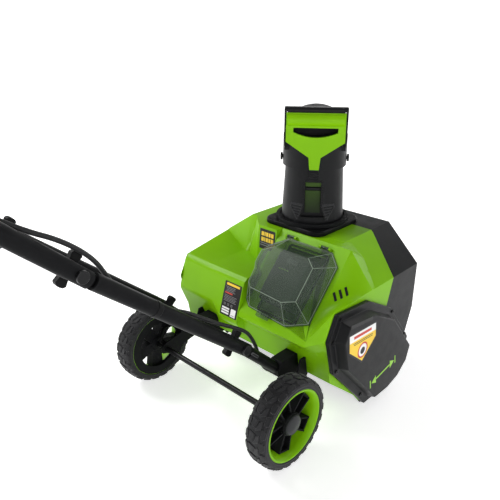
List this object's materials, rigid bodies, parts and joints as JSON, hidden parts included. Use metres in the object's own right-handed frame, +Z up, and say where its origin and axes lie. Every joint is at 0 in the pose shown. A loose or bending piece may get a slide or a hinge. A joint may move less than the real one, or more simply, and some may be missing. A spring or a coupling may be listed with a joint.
{
  "type": "cordless snow thrower",
  "caption": "Walk-behind battery snow thrower: green faceted auger housing, swivelling chute with tilting deflector, two wheels and a folding tubular handle.",
  "frame": {"origin": "centre of the scraper bar's underside, on the ground", "axes": "+X to the machine's right, +Y forward through the auger mouth, +Z up"},
  "size_m": [0.46, 1.223, 0.9313],
  "materials": {
    "aluminium": "cast",
    "bare_steel": "zinc plated",
    "battery_plastic": "moulded",
    "black_plastic": "moulded, fine texture",
    "cable": "smooth sheath",
    "foam": "soft foam",
    "green_plastic": "moulded, satin gloss",
    "painted_steel": "powder coat",
    "rubber": "matt",
    "smoked_lens": "smoked transparent moulding",
    "tyre": "matt"
  },
  "bodies": {
    "root": {"rear_shell": "green_plastic", "front_shroud": "black_plastic", "left_cover": "green_plastic", "belt_cover": "black_plastic", "auger_housing": "painted_steel", "side_plates": "painted_steel", "scraper_bar": "bare_steel", "chute_base": "black_plastic", "chute_retainer": "black_plastic", "battery_tray": "black_plastic", "motor": "bare_steel", "controller": "black_plastic", "auger_bearings": "bare_steel", "drive_belt": "rubber", "axle": "bare_steel", "axle_brackets": "painted_steel", "handle_brackets": "black_plastic", "lower_tube_left": "painted_steel", "lower_tube_right": "painted_steel", "lower_fold_bolts": "bare_steel", "door_hinge_pin": "bare_steel", "cable_gland": "black_plastic", "cable_loop_lower": "cable", "cover_screws": "bare_steel"},
    "auger": {"auger_shaft": "bare_steel", "centre_paddle": "rubber", "side_paddles": "rubber", "auger_pulley": "aluminium"},
    "motor_rotor": {"motor_shaft": "bare_steel", "drive_pulley": "aluminium"},
    "left_wheel": {"tyre_left": "tyre", "rim_left": "green_plastic", "spoke_hub_left": "black_plastic"},
    "right_wheel": {"tyre_right": "tyre", "rim_right": "green_plastic", "spoke_hub_right": "black_plastic"},
    "chute": {"chute_tube": "black_plastic"},
    "deflector": {"deflector_hood": "black_plastic", "deflector_grip": "green_plastic", "deflector_bolts": "bare_steel"},
    "door": {"battery_door": "smoked_lens", "door_latch": "black_plastic"},
    "battery": {"battery_pack": "battery_plastic"},
    "middle_handle": {"middle_tube_left": "painted_steel", "middle_tube_right": "painted_steel", "upper_fold_bolts": "bare_steel", "cable_middle": "cable", "cable_loop_upper": "cable"},
    "upper_handle": {"upper_tube_left": "painted_steel", "upper_tube_right": "painted_steel", "handle_loop": "painted_steel", "foam_grip": "foam", "switch_box": "black_plastic", "cable_upper": "cable"},
    "bail": {"bail_lever": "painted_steel"},
    "start_button": {"safety_button": "black_plastic"},
    "lower_knob_left": {"lower_knob_left": "black_plastic"},
    "lower_knob_right": {"lower_knob_right": "black_plastic"},
    "upper_knob_left": {"upper_knob_left": "black_plastic"},
    "upper_knob_right": {"upper_knob_right": "black_plastic"}
  },
  "joints": [
    {"name": "auger_spin", "type": "hinge", "parent": "root", "child": "auger", "pos_m": [0, 0.03, 0.125], "axis": [1, 0, 0], "continuous": true},
    {"name": "motor_spin", "type": "hinge", "parent": "root", "child": "motor_rotor", "pos_m": [0, -0.122, 0.158], "axis": [1, 0, 0], "continuous": true},
    {"name": "left_wheel_spin", "type": "hinge", "parent": "root", "child": "left_wheel", "pos_m": [-0.195, -0.27, 0.089], "axis": [1, 0, 0], "continuous": true},
    {"name": "right_wheel_spin", "type": "hinge", "parent": "root", "child": "right_wheel", "pos_m": [0.195, -0.27, 0.089], "axis": [1, 0, 0], "continuous": true},
    {"name": "chute_swivel", "type": "hinge", "parent": "root", "child": "chute", "pos_m": [0, 0.038, 0.361], "axis": [0, 0, 1], "range_deg": [-127, 53]},
    {"name": "deflector_tilt", "type": "hinge", "parent": "chute", "child": "deflector", "pos_m": [0, 0.038, 0.49], "axis": [-0.7986, -0.6018, 0], "range_deg": [0, 40]},
    {"name": "battery_door_hinge", "type": "hinge", "parent": "root", "child": "door", "pos_m": [0.062, -0.05357, 0.33807], "axis": [-1, 0, 0], "range_deg": [0, 100]},
    {"name": "battery_lift", "type": "slide", "parent": "root", "child": "battery", "axis": [0, -0.7389, 0.6738], "range_m": [0, 0.03]},
    {"name": "lower_fold", "type": "hinge", "parent": "root", "child": "middle_handle", "pos_m": [0, -0.305, 0.2265], "axis": [1, 0, 0], "range_deg": [-100, 0], "deforming": ["cable_loop_lower"]},
    {"name": "upper_fold", "type": "hinge", "parent": "middle_handle", "child": "upper_handle", "pos_m": [0, -0.597, 0.471], "axis": [1, 0, 0], "range_deg": [0, 90], "deforming": ["cable_loop_upper"]},
    {"name": "bail_squeeze", "type": "hinge", "parent": "upper_handle", "child": "bail", "pos_m": [0, -0.95784, 0.80329], "axis": [1, 0, 0], "range_deg": [0, 15], "stiffness_Nm_per_rad": 2, "springref_deg": -11.46},
    {"name": "start_button_press", "type": "slide", "parent": "upper_handle", "child": "start_button", "axis": [0, -0.6774, -0.7356], "range_m": [0, 0.003], "stiffness_N_per_m": 400, "springref_m": -0.001},
    {"name": "lower_knob_left_turn", "type": "hinge", "parent": "root", "child": "lower_knob_left", "pos_m": [-0.095, -0.305, 0.2265], "axis": [1, 0, 0], "continuous": true},
    {"name": "lower_knob_right_turn", "type": "hinge", "parent": "root", "child": "lower_knob_right", "pos_m": [0.095, -0.305, 0.2265], "axis": [1, 0, 0], "continuous": true},
    {"name": "upper_knob_left_turn", "type": "hinge", "parent": "middle_handle", "child": "upper_knob_left", "pos_m": [-0.095, -0.597, 0.471], "axis": [1, 0, 0], "continuous": true},
    {"name": "upper_knob_right_turn", "type": "hinge", "parent": "middle_handle", "child": "upper_knob_right", "pos_m": [0.095, -0.597, 0.471], "axis": [1, 0, 0], "continuous": true}
  ],
  "couplings": [
    {"joint": "motor_spin", "follows": "auger_spin", "ratio": 3},
    {"joint": "battery_lift", "follows": "battery_door_hinge", "m_per_rad": 0.017172}
  ]
}
